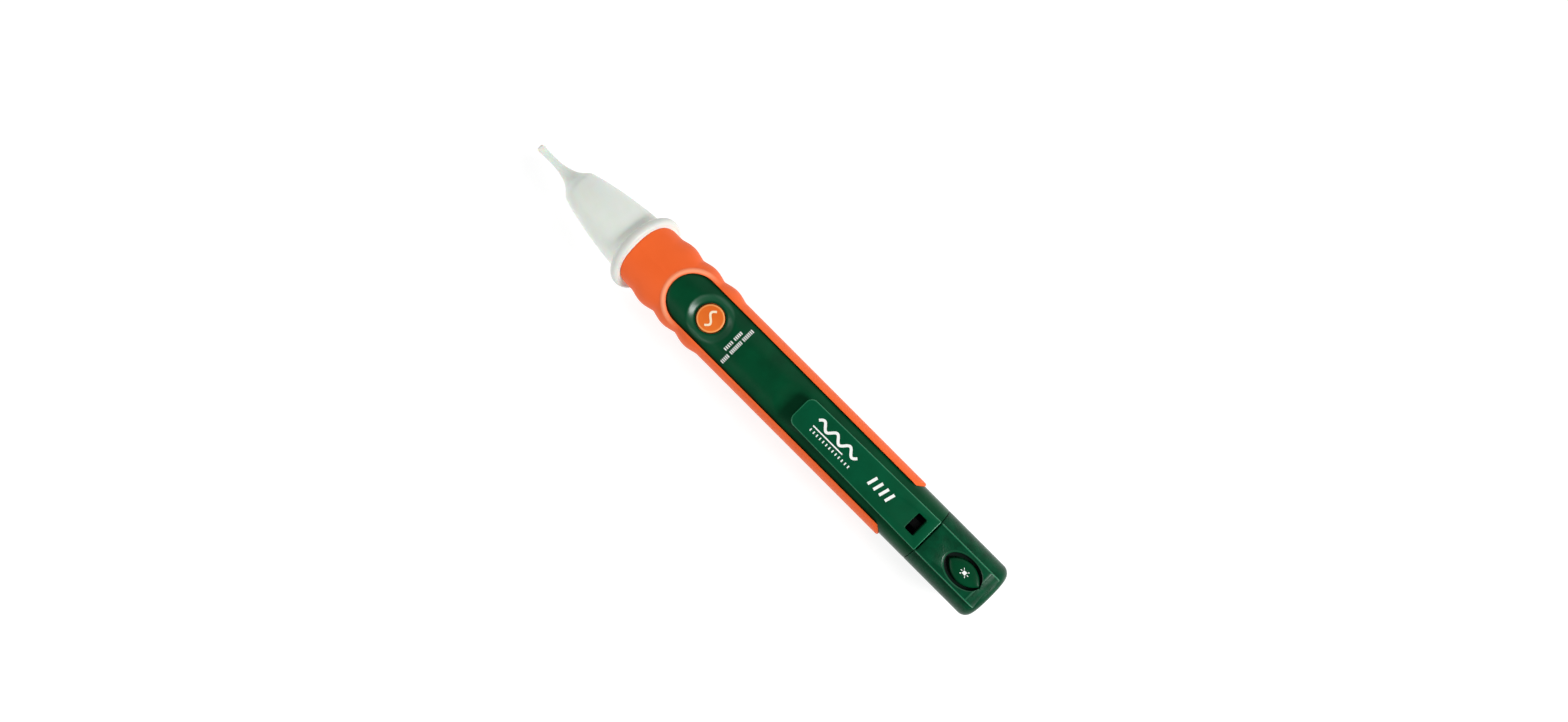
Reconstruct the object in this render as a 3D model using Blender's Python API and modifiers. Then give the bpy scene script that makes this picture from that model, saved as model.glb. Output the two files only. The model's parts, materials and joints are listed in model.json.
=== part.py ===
"""Pocket non-contact voltage tester with a torch in its tail cap.

The pen lies along X with its probe tip towards -X and its tail towards +X.
The button side faces +Z. The origin is the bottom centre of the whole pen.
Lengths along the pen are stations, measured from the probe tip; heights and
widths of the pen's pieces are measured from its long axis.
"""
import math

import bmesh
import bpy
from mathutils import Matrix, Vector

MM = 0.001
GAP = 0.3                 # clearance between pieces that touch

# Driving dimensions, in millimetres
LENGTH = 176.0            # probe tip to tail
SQUIRCLE = 2.5            # exponent of the body's rounded square section
BODY = (9.1, 8.9)         # half width and half height of the green body
WALL = 1.9
CAVITY = (BODY[0] - WALL, BODY[1] - WALL)
GRIP = (9.85, 9.5)        # the orange overmould, proud of the body
GRIP_BED = (8.4, 8.2)     # the recess that the overmould lies in
GUARD_RADIUS = 11.85
GUARD_THICK = 3.0
GUARD_CORNER = 1.3        # rounding of the guard's rim
GUARD_STATION = 41.7      # where the raked guard crosses the pen's axis
GUARD_RAKE = math.radians(25)
WINDOW_HALF = 7.6         # half width of the green panel between the grip strips
WINDOW_FRONT = 53.3
GRIP_END = 142.4
STRIP_RADIUS = 8.5        # round end of the grip's side strips
WAVE_START, WAVE_PITCH, WAVE_COUNT, WAVE_HEIGHT = 46.2, 8.4, 3, 0.8
BUTTON_STATION, BUTTON_RADIUS = 67.6, 3.95
BUTTON_LEVELS = (6.2, 8.2)
BUTTON_RIM = (4.9, 5.9, 6.5)          # radius, underside and top of the rim that keeps it in
BUTTON_DISH = (19.5, 1.3)             # radius of the ball that hollows the dish, and its depth
BUTTON_POCKET = (5.3, 3.0, 7.15)
SCOOP_STATION, SCOOP_RISE, SCOOP_RADII = 102.0, 2.2, (11.0, 9.5, 3.0)
LABEL_FLAT = (84.0, 134.0, 4.5, 8.2)  # stations, half width and depth below the axis
PARTING = 151.8           # where the tail cap meets the body
NECK = (7.4, 7.2)         # the body's neck inside the tail cap
NECK_BORE = (6.3, 6.1)
NECK_END = PARTING + 5.4
CLIP_FRONT, CLIP_REAR = 102.15, PARTING - GAP
CLIP_FRONT_HALF, CLIP_REAR_HALF = 4.65, 5.37
CLIP_TOP, CLIP_THICK = 11.5, 1.6
CLIP_PIVOT = (150.0, 9.4)
CLIP_WINDOW = (145.3, 148.5, 2.85)
CLIP_FEET = (148.4, 150.2, 3.7, 4.7)  # stations, then the inner and outer side of each foot
FOOT_LEVELS, FOOT_SWING, SLOT_FLOOR = (7.7, 10.4), 0.4, 7.4
CLIP_ROOT = 142.7                     # where the solid root behind the springy arm begins
PANEL_HALF = 5.4          # half width of the cap's raised top panel
PANEL_TOP = 11.2
CAP_HOLLOW_END = 173.6
LATCH_HALF, LATCH_LEVELS, LATCH_FLOOR = 2.2, (8.3, 9.5), 8.0
TORCH_STATION = 165.7
RECESS_STATION = 165.2
TORCH_BUTTON = (5.7, 3.05)
TORCH_RECESS = (6.8, 4.6)
RECESS_FLOOR, BAY_CEILING = 9.4, 8.6
TORCH_LEVELS, TORCH_RIM_LEVELS = (7.9, 10.9), (7.8, 8.3)
CELL_RADIUS, CELL_LENGTH, CELL_DROP = 5.25, 43.3, 0.4
CELL_FRONT = 75.0
CONTACT = (73.3, 73.7)    # the plate that the front cell's nub presses on
TRAY = (72.2, 148.0, 6.1)
BOARD = (47.5, 71.0, 5.0, 2.0, 0.8)
AXIS_HEIGHT = ((GUARD_RADIUS - GUARD_CORNER) * math.cos(GUARD_RAKE)
               + (GUARD_THICK / 2 - GUARD_CORNER) * math.sin(GUARD_RAKE) + GUARD_CORNER)

RING_POINTS = 40
ROUND_POINTS = 32

# How far cutting shapes run past the pen
ABOVE = 14.0
ASIDE = 20.0
BEFORE, BEHIND = 20.0, 170.0

COLOURS = {
    'green': ((0.003, 0.075, 0.028), 0.42, 0.0),
    'orange': ((0.88, 0.12, 0.02), 0.55, 0.0),
    'tip_white': ((0.78, 0.80, 0.75), 0.35, 0.0),
    'steel': ((0.62, 0.62, 0.60), 0.28, 1.0),
    'brass': ((0.75, 0.55, 0.25), 0.3, 1.0),
    'board_green': ((0.01, 0.16, 0.06), 0.4, 0.0),
    'black': ((0.015, 0.015, 0.017), 0.45, 0.0),
    'red': ((0.6, 0.01, 0.01), 0.2, 0.0),
    'clear': ((0.85, 0.88, 0.9), 0.05, 0.0),
    'chrome': ((0.85, 0.85, 0.86), 0.08, 1.0),
}


def clear_scene():
    for item in list(bpy.data.objects):
        bpy.data.objects.remove(item, do_unlink=True)


def make_collection(name):
    group = bpy.data.collections.new(name)
    bpy.context.scene.collection.children.link(group)
    return group


def make_material(name):
    colour, roughness, metallic = COLOURS[name]
    material = bpy.data.materials.new(name)
    material.use_nodes = True
    shader = material.node_tree.nodes['Principled BSDF']
    shader.inputs['Base Color'].default_value = (*colour, 1.0)
    shader.inputs['Roughness'].default_value = roughness
    shader.inputs['Metallic'].default_value = metallic
    return material


def at(station, y, height):
    """World point of a station along the pen and an offset from its axis, in mm."""
    return Vector(((station - LENGTH / 2) * MM, y * MM, (height + AXIS_HEIGHT) * MM))


# Meshes

def mesh_object(name, mesh):
    item = bpy.data.objects.new(name, mesh)
    GUIDES.objects.link(item)
    item.hide_render = True
    item.display_type = 'WIRE'
    return item


def publish(item, material, smooth_angle=35):
    """Move a finished shape from the guides to the pen's own parts."""
    GUIDES.objects.unlink(item)
    PARTS.objects.link(item)
    item.hide_render = False
    item.display_type = 'TEXTURED'
    item.data.materials.clear()
    item.data.materials.append(MATERIALS[material])
    item.data.shade_smooth()
    item.data.set_sharp_from_angle(angle=math.radians(smooth_angle))
    return item


def squircle(half_width, half_height, points=RING_POINTS):
    ring = []
    for i in range(points):
        turn = 2 * math.pi * i / points
        c, s = math.cos(turn), math.sin(turn)
        ring.append((math.copysign(abs(c) ** (2 / SQUIRCLE), c) * half_width,
                     math.copysign(abs(s) ** (2 / SQUIRCLE), s) * half_height))
    return ring


def add_ring(mesh, station, section):
    return [mesh.verts.new(at(station, y, z)) for y, z in section]


def bridge(mesh, first, second):
    count = len(first)
    for i in range(count):
        j = (i + 1) % count
        mesh.faces.new((first[i], first[j], second[j], second[i]))


def finish_mesh(name, mesh):
    bmesh.ops.recalc_face_normals(mesh, faces=mesh.faces)
    data = bpy.data.meshes.new(name)
    mesh.to_mesh(data)
    mesh.free()
    return mesh_object(name, data)


def loft(name, sections):
    """Closed solid through (station, section) pairs."""
    mesh = bmesh.new()
    rings = [add_ring(mesh, station, section) for station, section in sections]
    for first, second in zip(rings, rings[1:]):
        bridge(mesh, first, second)
    mesh.faces.new(rings[0])
    mesh.faces.new(rings[-1])
    return finish_mesh(name, mesh)


def body_loft(name, stations):
    return loft(name, [(s, squircle(a, b)) for s, a, b in stations])


def turned(name, profile, points=ROUND_POINTS):
    """Solid of revolution about the pen's axis from (station, radius) pairs, tip end first."""
    mesh = bpy.data.meshes.new(name)
    low_to_high = [(radius * MM, 0.0, station * MM) for station, radius in reversed(profile)]
    edges = [(i, i + 1) for i in range(len(profile) - 1)]
    mesh.from_pydata(low_to_high, edges, [])
    item = mesh_object(name, mesh)
    screw = item.modifiers.new('Turn', 'SCREW')
    screw.axis = 'Z'
    screw.steps = points
    screw.render_steps = points
    screw.use_merge_vertices = True
    screw.merge_threshold = 0.000001
    item.matrix_world = Matrix.Translation(at(0, 0, 0)) @ Matrix.Rotation(math.pi / 2, 4, 'Y')
    return item


def outline_solid(name, points, low, high, plane='XY'):
    """Flat outline of (station, offset) points, made thick from low to high."""
    curve = bpy.data.curves.new(name, 'CURVE')
    curve.dimensions = '2D'
    curve.fill_mode = 'BOTH'
    curve.extrude = (high - low) / 2 * MM
    spline = curve.splines.new('POLY')
    spline.points.add(len(points) - 1)
    for point, (u, v) in zip(spline.points, points):
        point.co = (u * MM, v * MM, 0, 1)
    spline.use_cyclic_u = True
    source = bpy.data.objects.new(name, curve)
    GUIDES.objects.link(source)
    middle = (low + high) / 2
    if plane == 'XY':
        source.matrix_world = Matrix.Translation(at(0, 0, middle))
    else:
        source.matrix_world = Matrix.Translation(at(0, middle, 0)) @ Matrix.Rotation(math.pi / 2, 4, 'X')
    return solid_from_curve(name, source)


def solid_from_curve(name, source):
    """Mesh of a curve with its caps welded on."""
    bpy.context.view_layer.update()
    placed = source.matrix_world.copy()
    graph = bpy.context.evaluated_depsgraph_get()
    mesh = bpy.data.meshes.new_from_object(source.evaluated_get(graph))
    bpy.data.objects.remove(source, do_unlink=True)
    welded = bmesh.new()
    welded.from_mesh(mesh)
    bmesh.ops.remove_doubles(welded, verts=welded.verts, dist=0.000002)
    bmesh.ops.recalc_face_normals(welded, faces=welded.faces)
    welded.to_mesh(mesh)
    welded.free()
    item = mesh_object(name, mesh)
    item.matrix_world = placed
    return item


def box(name, stations, widths, heights):
    mesh = bmesh.new()
    bmesh.ops.create_cube(mesh, size=1.0)
    size = [(pair[1] - pair[0]) * MM for pair in (stations, widths, heights)]
    centre = at(*(sum(pair) / 2 for pair in (stations, widths, heights)))
    bmesh.ops.scale(mesh, vec=size, verts=mesh.verts)
    bmesh.ops.translate(mesh, vec=centre, verts=mesh.verts)
    return finish_mesh(name, mesh)


def upright(name, station, y, low, high, radius, points=ROUND_POINTS, top_radius=None):
    """Round post standing along Z."""
    mesh = bmesh.new()
    bmesh.ops.create_cone(mesh, cap_ends=True, segments=points, radius1=radius * MM,
                          radius2=(radius if top_radius is None else top_radius) * MM,
                          depth=(high - low) * MM)
    bmesh.ops.translate(mesh, vec=at(station, y, (low + high) / 2), verts=mesh.verts)
    return finish_mesh(name, mesh)


def ball(name, station, height, radii, points=ROUND_POINTS):
    mesh = bmesh.new()
    bmesh.ops.create_uvsphere(mesh, u_segments=points, v_segments=points // 2, radius=1.0)
    bmesh.ops.scale(mesh, vec=[r * MM for r in radii], verts=mesh.verts)
    bmesh.ops.translate(mesh, vec=at(station, 0, height), verts=mesh.verts)
    return finish_mesh(name, mesh)


def boolean(part, other, operation):
    step = part.modifiers.new(f'{operation.title()} {other.name}', 'BOOLEAN')
    step.operation = operation
    step.object = other
    return part


def cut(part, *others):
    for other in others:
        boolean(part, other, 'DIFFERENCE')
    return part


def join(part, *others):
    for other in others:
        boolean(part, other, 'UNION')
    return part


def bevel(part, width, segments=1, angle=40):
    step = part.modifiers.new('Bevel', 'BEVEL')
    step.width = width * MM
    step.segments = segments
    step.limit_method = 'ANGLE'
    step.angle_limit = math.radians(angle)
    return part


def arc(centre, radius, start, end, steps):
    """Points on an arc from start to end, in degrees."""
    points = []
    for i in range(steps + 1):
        turn = math.radians(start + (end - start) * i / steps)
        points.append((centre[0] + radius * math.cos(turn), centre[1] + radius * math.sin(turn)))
    return points


def ellipse(centre, radii, steps=ROUND_POINTS):
    turns = [2 * math.pi * i / steps for i in range(steps)]
    return [(centre + radii[0] * math.cos(t), radii[1] * math.sin(t)) for t in turns]


def pointed_oval(centre, half_length, half_width, steps=8):
    """Outline of two equal arcs that meet in a point at each end."""
    radius = (half_length ** 2 + half_width ** 2) / (2 * half_width)
    reach = math.degrees(math.asin(half_length / radius))
    upper = arc((centre, half_width - radius), radius, 90 + reach, 90 - reach, steps)
    lower = arc((centre, radius - half_width), radius, 270 + reach, 270 - reach, steps)
    return upper[:-1] + lower[:-1]


def raked_block(name, offset, towards_tail):
    """Large block with one face parallel to the guard, at a distance behind its middle plane."""
    size = 60.0
    mesh = bmesh.new()
    bmesh.ops.create_cube(mesh, size=size * MM)
    side = 1 if towards_tail else -1
    shift = Matrix.Translation(((offset + side * size / 2) * MM, 0, 0))
    lean = Matrix.Rotation(-GUARD_RAKE, 4, 'Y')
    bmesh.ops.transform(mesh, matrix=Matrix.Translation(at(GUARD_STATION, 0, 0)) @ lean @ shift,
                        verts=mesh.verts)
    return finish_mesh(name, mesh)


def hang_on(part, pivot):
    """Give a moving piece a parent that sits on its joint."""
    part.parent = pivot
    part.location = part.location - pivot.location


def joint_empty(name, station, y, height):
    pivot = bpy.data.objects.new(name, None)
    pivot.location = at(station, y, height)
    pivot.empty_display_size = 4 * MM
    PARTS.objects.link(pivot)
    return pivot


# Probe tip

CONE = [(0.0, 0.0), (0.0, 0.75), (0.4, 1.1), (1.2, 1.15), (3.0, 1.0), (8.0, 1.15), (9.6, 1.5),
        (11.7, 2.15), (13.3, 3.1), (14.6, 4.3), (15.4, 5.0), (17.2, 5.55), (20.3, 6.35),
        (25.6, 7.7), (30.8, 8.5), (36.0, 9.0), (41.0, 9.3), (50.0, 9.5), (50.0, 0.0)]
CONE_INSIDE = [(2.0, 0.0), (2.0, 0.5), (9.0, 0.55), (12.0, 1.0), (14.2, 2.4), (15.8, 3.9),
               (20.3, 5.1), (25.6, 6.3), (30.8, 7.1), (35.6, 7.6), (35.6, 0.0)]
COLLAR = (6.9, 6.7)
COLLAR_BORE = (5.9, 5.7)


def guard_profile():
    """Half section of the guard as (distance behind its middle, radius), rim rounded."""
    half, corner = GUARD_THICK / 2, GUARD_CORNER
    front = arc((-half + corner, GUARD_RADIUS - corner), corner, 180, 90, 4)
    rear = arc((half - corner, GUARD_RADIUS - corner), corner, 90, 0, 4)
    return [(-half, 0.0)] + front + rear + [(half, 0.0)]


def probe_tip():
    cone = cut(turned('cone', CONE), raked_block('cone_trim', 0.5, True))
    guard = turned('guard', guard_profile(), points=40)
    guard.matrix_world = (Matrix.Translation(at(GUARD_STATION, 0, 0))
                          @ Matrix.Rotation(math.pi / 2 - GUARD_RAKE, 4, 'Y'))
    collar = body_loft('collar', [(42.0, *COLLAR), (52.0, *COLLAR)])
    cut(collar, raked_block('collar_trim', 0.6, False))
    tip = join(cone, guard, collar)
    cut(tip, turned('cone_hollow', CONE_INSIDE))
    cut(tip, body_loft('collar_bore', [(34.0, *COLLAR_BORE), (56.0, *COLLAR_BORE)]))
    tip.name = 'probe_tip'
    publish(tip, 'tip_white')


# Grip and body shells

def wave(station):
    """Height of the finger waves on the grip's sides."""
    along = (station - WAVE_START) / WAVE_PITCH
    if along < 0 or along > WAVE_COUNT:
        return 0.0
    return WAVE_HEIGHT * abs(math.sin(math.pi * along)) ** 1.2


def grip_section(station):
    height = wave(station)
    return [(y + math.copysign(height * (abs(y) / GRIP[0]) ** 5, y), z) for y, z in squircle(*GRIP)]


def grip_stations():
    per_wave = 6
    waves = [WAVE_START + WAVE_PITCH * i / per_wave for i in range(WAVE_COUNT * per_wave + 1)]
    return [30.0] + waves + [150.0]


def window_outline(inset=0.0):
    """Panel between the grip's strips: round in front, open towards the tail."""
    half = WINDOW_HALF - inset
    centre = WINDOW_FRONT + WINDOW_HALF
    return arc((centre, 0), half, 90, 270, 16) + [(165.0, -half), (165.0, half)]


def strip_outline(extra=0.0):
    """Side view of the grip: deep at the front, with a round end at the tail."""
    end_radius = STRIP_RADIUS + extra
    start = GRIP_END - STRIP_RADIUS
    rounded = arc((start, 0), end_radius, 90, -90, 14)
    first, step = 28.0, start - 6
    return ([(first, ABOVE), (step, ABOVE), (step, end_radius)] + rounded
            + [(step, -end_radius), (step, -ABOVE), (first, -ABOVE)])


def grip_sleeve():
    sleeve = loft('grip_sleeve', [(s, grip_section(s)) for s in grip_stations()])
    boolean(sleeve, outline_solid('grip_side', strip_outline(), -15, 15, 'XZ'), 'INTERSECT')
    cut(sleeve, body_loft('grip_inside', [(25.0, *GRIP_BED), (160.0, *GRIP_BED)]))
    cut(sleeve, outline_solid('grip_window', window_outline(), -15, 15))
    cut(sleeve, raked_block('grip_front', GUARD_THICK / 2 + GAP, False))
    publish(sleeve, 'orange')


def grip_bed():
    """What the grip takes out of the body, with clearance all round."""
    bed = body_loft('grip_bed', [(26.0, 12.0, 12.0), (150.5, 12.0, 12.0)])
    boolean(bed, outline_solid('bed_side', strip_outline(GAP), -16, 16, 'XZ'), 'INTERSECT')
    inner = (GRIP_BED[0] - GAP, GRIP_BED[1] - GAP)
    cut(bed, body_loft('bed_inside', [(24.0, *inner), (162.0, *inner)]))
    cut(bed, outline_solid('bed_window', window_outline(GAP), -16, 16))
    return bed


def body_shell(name, bed):
    """Whole body, later halved: outside, neck for the cap, hollow and raked front."""
    shell = body_loft(name, [(34.0, *BODY), (PARTING - GAP / 2, *BODY), (PARTING - GAP / 2, *NECK),
                             (NECK_END, *NECK)])
    hollow = body_loft(f'{name}_hollow', [(30.0, *CAVITY), (PARTING - 3.6, *CAVITY),
                                          (PARTING - 1.1, *NECK_BORE), (165.0, *NECK_BORE)])
    front = raked_block(f'{name}_front', GUARD_THICK / 2 + GAP, False)
    return cut(shell, bed, hollow, front)


def upper_housing(bed):
    shell = body_shell('upper_housing', bed)
    cut(shell, box('below_split', (BEFORE, BEHIND), (-ASIDE, ASIDE), (-ASIDE, GAP / 2)))
    dish_radius, dish_depth = BUTTON_DISH
    cut(shell, ball('button_dish', BUTTON_STATION, BODY[1] - dish_depth + dish_radius,
                    (dish_radius, dish_radius, dish_radius), points=64))
    cut(shell, upright('button_hole', BUTTON_STATION, 0, 2, ABOVE, BUTTON_RADIUS + 0.4))
    pocket_radius, pocket_floor, pocket_top = BUTTON_POCKET
    cut(shell, upright('button_pocket', BUTTON_STATION, 0, pocket_floor, pocket_top, pocket_radius))
    cut(shell, ball('finger_scoop', SCOOP_STATION, BODY[1] + SCOOP_RISE, SCOOP_RADII, points=40))
    first, last, half = CLIP_WINDOW
    cut(shell, box('clip_hole', (first, last), (-half, half), (0, ABOVE)))
    cut(shell, box('latch_channel', (last - 0.5, BEHIND), (-LATCH_HALF - GAP, LATCH_HALF + GAP),
                   (LATCH_FLOOR, ABOVE)))
    front, rear, inner, outer = CLIP_FEET
    for side in (-1, 1):
        slot_sides = sorted((side * (inner - GAP), side * (outer + GAP)))
        cut(shell, box(f'clip_slot_{side}', (front - FOOT_SWING, rear + FOOT_SWING), slot_sides,
                       (SLOT_FLOOR, ABOVE)))
    publish(shell, 'green')


def lower_housing(bed):
    shell = body_shell('lower_housing', bed)
    cut(shell, box('above_split', (BEFORE, BEHIND), (-ASIDE, ASIDE), (-GAP / 2, ASIDE)))
    first, last, half, depth = LABEL_FLAT
    cut(shell, box('label_flat', (first, last), (-half, half), (-ABOVE, -depth)))
    publish(shell, 'green')


# Controls

def range_button():
    button = upright('range_button', BUTTON_STATION, 0, *BUTTON_LEVELS, BUTTON_RADIUS)
    rim_radius, rim_under, rim_top = BUTTON_RIM
    join(button, upright('range_button_rim', BUTTON_STATION, 0, rim_under, rim_top, rim_radius))
    publish(button, 'orange')
    body = box('range_switch', (BUTTON_STATION - 3, BUTTON_STATION + 3), (-3, 3), (3.1, 4.5))
    cut(body, upright('range_switch_bore', BUTTON_STATION, 0, 3.5, 6, 1.5, points=20))
    publish(body, 'black')
    plunger = upright('range_switch_plunger', BUTTON_STATION, 0, 4.2, 5.6, 1.2, points=20)
    publish(plunger, 'black')
    pivot = joint_empty('range_button_axis', BUTTON_STATION, 0, 6.0)
    hang_on(button, pivot)
    hang_on(plunger, pivot)


def clip_outline():
    """Plan of the clip: slightly wider at its root, corners rounded at the free end."""
    corner = 2.2
    front = arc((CLIP_FRONT + corner, -CLIP_FRONT_HALF + corner), corner, 270, 180, 5)
    back = arc((CLIP_FRONT + corner, CLIP_FRONT_HALF - corner), corner, 180, 90, 5)
    return front + back + [(CLIP_REAR, CLIP_REAR_HALF), (CLIP_REAR, -CLIP_REAR_HALF)]


def pocket_clip():
    clip = bevel(outline_solid('pocket_clip', clip_outline(), CLIP_TOP - CLIP_THICK, CLIP_TOP), 0.35)
    root = box('clip_root', (CLIP_ROOT, CLIP_REAR - 0.05),
               (-CLIP_REAR_HALF + 0.02, CLIP_REAR_HALF - 0.02), (7.0, CLIP_TOP - 0.8))
    cut(root, body_loft('clip_root_seat', [(140, BODY[0] + GAP, BODY[1] + GAP),
                                           (160, BODY[0] + GAP, BODY[1] + GAP)]))
    join(clip, root)
    join(clip, ball('clip_nose', 105.5, CLIP_TOP - CLIP_THICK, (2.4, 3.0, 1.1), points=16))
    front, rear, inner, outer = CLIP_FEET
    for side in (-1, 1):
        foot_sides = sorted((side * inner, side * outer))
        join(clip, box(f'clip_foot_{side}', (front, rear), foot_sides, FOOT_LEVELS))
    first, last, half = CLIP_WINDOW
    cut(clip, box('clip_window', (first, last), (-half, half), (5, 15)))
    cut(clip, box('clip_latch_way', (first + 0.5, 160), (-half, half), (5, CLIP_TOP - CLIP_THICK)))
    publish(clip, 'green')
    hang_on(clip, joint_empty('clip_pivot', CLIP_PIVOT[0], 0, CLIP_PIVOT[1]))


# Tail cap with the torch

def cap_stations():
    """The cap's outside: straight, then rounded onto the tail face."""
    corner = 2.6
    rounding = [(LENGTH + u, v) for u, v in arc((-corner, -corner), corner, 90, 0, 4)]
    return [(PARTING + GAP / 2, *BODY)] + [(s, BODY[0] + v, BODY[1] + v) for s, v in rounding]


def panel_outline():
    """Side view of the raised panel: level, then rolled down to the tail."""
    radius = 4.6
    roll = arc((170.2, PANEL_TOP - 0.4 - radius), radius, 84, 10, 6)
    return [(PARTING + GAP / 2, 5.0), (PARTING + GAP / 2, PANEL_TOP)] + roll + [(175.0, 5.0)]


def tail_cap():
    cap = body_loft('tail_cap', cap_stations())
    join(cap, bevel(outline_solid('cap_panel', panel_outline(), -PANEL_HALF, PANEL_HALF, 'XZ'), 0.35))
    inside = (NECK[0] + GAP, NECK[1] + GAP)
    cut(cap, body_loft('cap_hollow', [(150.0, *inside), (CAP_HOLLOW_END, *inside)]))
    cut(cap, box('switch_bay', (157.8, 173.0), (-4.5, 4.5), (4.0, BAY_CEILING)))
    recess = outline_solid('torch_recess', ellipse(RECESS_STATION, TORCH_RECESS), RECESS_FLOOR, ABOVE)
    hole = pointed_oval(TORCH_STATION, TORCH_BUTTON[0] + 0.55, TORCH_BUTTON[1] + 0.35)
    cut(cap, recess, outline_solid('torch_button_hole', hole, 7, ABOVE))
    cut(cap, turned('lens_seat', [(170.0, 0.0), (170.0, 4.6), (180.0, 4.6), (180.0, 0.0)]))
    join(cap, box('latch_tongue', (PARTING - 3.0, PARTING + 2.5), (-LATCH_HALF, LATCH_HALF),
                  LATCH_LEVELS))
    publish(cap, 'green')
    return cap


def torch_parts():
    """The torch's pieces inside the cap; the button and its plunger come last."""
    board = box('torch_board', (158.4, 172.0), (-4.0, 4.0), (5.2, 5.8))
    switch = box('torch_switch', (TORCH_STATION - 2.3, TORCH_STATION + 2.3), (-2.3, 2.3), (6.1, 7.0))
    cut(switch, upright('torch_switch_bore', TORCH_STATION, 0, 6.35, 9, 1.3, points=20))
    reflector = turned('torch_reflector', [(167.4, 2.85), (167.4, 3.35), (172.0, 4.7), (173.2, 4.7),
                                           (173.2, 4.4), (172.2, 4.3), (168.2, 2.85), (167.4, 2.85)], 28)
    lens = turned('torch_lens', [(CAP_HOLLOW_END, 0.0), (CAP_HOLLOW_END, 4.25), (175.2, 4.25),
                                 (175.6, 3.8), (175.6, 0.0)], 28)
    led = turned('torch_led', [(166.2, 0.0), (166.2, 2.75), (167.0, 2.75), (167.0, 2.45), (169.6, 2.45),
                               (170.8, 2.0), (171.6, 1.1), (171.8, 0.0)], 20)
    leaf = box('torch_contact_leaf', (158.5, 165.5), (-6.75, -6.45), (-1.4, 1.6))
    button = outline_solid('torch_button', pointed_oval(TORCH_STATION, *TORCH_BUTTON), *TORCH_LEVELS)
    bevel(button, 0.3)
    rim = pointed_oval(TORCH_STATION, TORCH_BUTTON[0] + 0.75, TORCH_BUTTON[1] + 0.9)
    join(button, outline_solid('torch_button_rim', rim, *TORCH_RIM_LEVELS))
    plunger = upright('torch_switch_plunger', TORCH_STATION, 0, 6.9, 7.5, 1.0, points=20)
    for item, material in ((board, 'board_green'), (switch, 'black'), (reflector, 'chrome'),
                           (lens, 'clear'), (led, 'clear'), (leaf, 'brass'), (button, 'green'),
                           (plunger, 'black')):
        publish(item, material)
    return [board, switch, reflector, lens, led, leaf], [button, plunger]


def coil_spring(name, start, end, radius_start, radius_end, turns, wire):
    """Conical wire spring along the pen's axis."""
    curve = bpy.data.curves.new(name, 'CURVE')
    curve.dimensions = '3D'
    curve.bevel_depth = wire / 2 * MM
    curve.bevel_resolution = 1
    curve.use_fill_caps = True
    steps = int(turns * 12)
    spline = curve.splines.new('POLY')
    spline.points.add(steps)
    for i, point in enumerate(spline.points):
        share = i / steps
        turn = 2 * math.pi * turns * share
        radius = radius_start + (radius_end - radius_start) * share
        spot = at(start + (end - start) * share, radius * math.cos(turn),
                  radius * math.sin(turn) - CELL_DROP)
        point.co = (*spot, 1)
    source = bpy.data.objects.new(name, curve)
    GUIDES.objects.link(source)
    return solid_from_curve(name, source)


def tail_group():
    cap = tail_cap()
    fixed, pressed = torch_parts()
    spring = coil_spring('torch_spring', 163.4, 165.6, 2.0, 3.4, 2.25, 0.45)
    publish(spring, 'steel')
    slide = joint_empty('tail_cap_slide', PARTING, 0, 0)
    for item in [cap, spring] + fixed:
        hang_on(item, slide)
    press = joint_empty('torch_button_axis', TORCH_STATION, 0, 9.0)
    for item in pressed:
        hang_on(item, press)


# Electronics and power

def sensing_antenna():
    """Wire from the board's front edge, over the lamp and down into the nib."""
    route = [(49.0, 3.4), (46.5, 3.6), (44.5, 4.3), (40.0, 4.3), (34.0, 4.0), (26.0, 2.6),
             (18.0, 0.9), (13.5, 0.1), (9.0, 0.0), (3.2, 0.0)]
    curve = bpy.data.curves.new('sensing_antenna', 'CURVE')
    curve.dimensions = '3D'
    curve.bevel_depth = 0.25 * MM
    curve.bevel_resolution = 2
    curve.use_fill_caps = True
    spline = curve.splines.new('POLY')
    spline.points.add(len(route) - 1)
    for point, (station, height) in zip(spline.points, route):
        point.co = (*at(station, 0, height), 1)
    source = bpy.data.objects.new('sensing_antenna', curve)
    GUIDES.objects.link(source)
    publish(solid_from_curve('sensing_antenna', source), 'steel')


def electronics():
    first, last, half, low, thick = BOARD
    publish(box('main_board', (first, last), (-half, half), (low, low + thick)), 'board_green')
    under = low - GAP
    publish(upright('buzzer', 57.0, 0, under - 3.2, under, 4.6), 'black')
    publish(box('controller_chip', (63.0, 69.6), (-2.6, 2.6), (under - 1.5, under)), 'black')
    publish(upright('filter_capacitor', 56.5, 0.8, low + thick + GAP, 6.0, 2.0, points=20), 'steel')
    publish(turned('indicator_led', [(38.3, 0.0), (38.5, 1.1), (39.2, 1.9), (40.4, 2.4), (44.8, 2.4),
                                     (44.8, 2.8), (45.8, 2.8), (45.8, 0.0)], 20), 'red')


def cell(name, front):
    """AAA cell with its positive nub towards the tip."""
    item = turned(name, [(front - 1.0, 0.0), (front - 1.0, 1.8), (front, 1.8), (front, CELL_RADIUS - 0.5),
                         (front + 0.5, CELL_RADIUS), (front + CELL_LENGTH - 0.4, CELL_RADIUS),
                         (front + CELL_LENGTH, CELL_RADIUS - 0.5), (front + CELL_LENGTH, 0.0)], 28)
    item.location.z -= CELL_DROP * MM
    publish(item, 'black')


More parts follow.
